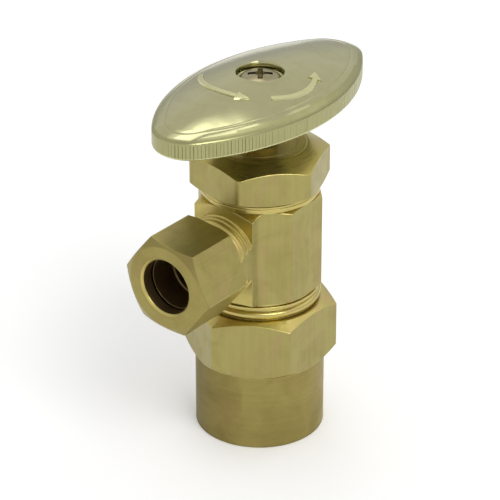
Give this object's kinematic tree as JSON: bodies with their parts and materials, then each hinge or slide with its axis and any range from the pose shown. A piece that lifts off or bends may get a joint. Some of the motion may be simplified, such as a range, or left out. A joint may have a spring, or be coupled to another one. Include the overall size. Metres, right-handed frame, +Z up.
{
  "type": "angle stop valve",
  "caption": "Brass angle stop valve: hex body with threaded inlet socket below, compression outlet on the side, and an oval fluted handle that screws the stem up off its seat.",
  "frame": {"origin": "centre of the inlet socket's end face, on the valve's axis", "axes": "+Z up the valve's axis from the inlet to the handle, -Y the way the outlet points, +X to the right seen from the outlet"},
  "size_m": [0.0266, 0.0522, 0.0686],
  "materials": {
    "rough_brass": "satin, as machined",
    "turned_brass": "bright turned",
    "polished_brass": "polished pale plating",
    "screw_plate": "brass-toned plating",
    "washer_rubber": "matt",
    "packing": "matt",
    "gasket_fibre": "matt"
  },
  "bodies": {
    "body": {"valve_body": "rough_brass", "bonnet": "rough_brass", "bonnet_gasket": "gasket_fibre", "packing_washer": "turned_brass", "packing_ring": "packing", "gland_ring": "turned_brass"},
    "seat_disc": {"seat_holder": "turned_brass", "seat_washer": "washer_rubber"},
    "stem_and_handle": {"stem": "turned_brass", "washer_screw": "turned_brass", "handle": "polished_brass", "handle_screw": "screw_plate"},
    "sleeve": {"ferrule": "turned_brass"},
    "outlet_nut": {"compression_nut": "rough_brass"}
  },
  "joints": [
    {"name": "stem_rise", "type": "slide", "parent": "body", "child": "seat_disc", "axis": [0, 0, 1], "range_m": [0, 0.00397]},
    {"name": "handle_turn", "type": "hinge", "parent": "seat_disc", "child": "stem_and_handle", "pos_m": [0, 0, 0.06], "axis": [0, 0, 1], "range_deg": [0, 900]},
    {"name": "nut_travel", "type": "slide", "parent": "body", "child": "sleeve", "axis": [0, -1, 0], "range_m": [0, 0.00318]},
    {"name": "nut_turn", "type": "hinge", "parent": "sleeve", "child": "outlet_nut", "pos_m": [0, -0.02, 0.0377], "axis": [0, -1, 0], "range_deg": [0, 1080]}
  ],
  "couplings": [
    {"joint": "stem_rise", "follows": "handle_turn", "m_per_rad": 0.00025266},
    {"joint": "nut_travel", "follows": "nut_turn", "m_per_rad": 0.00016844}
  ]
}
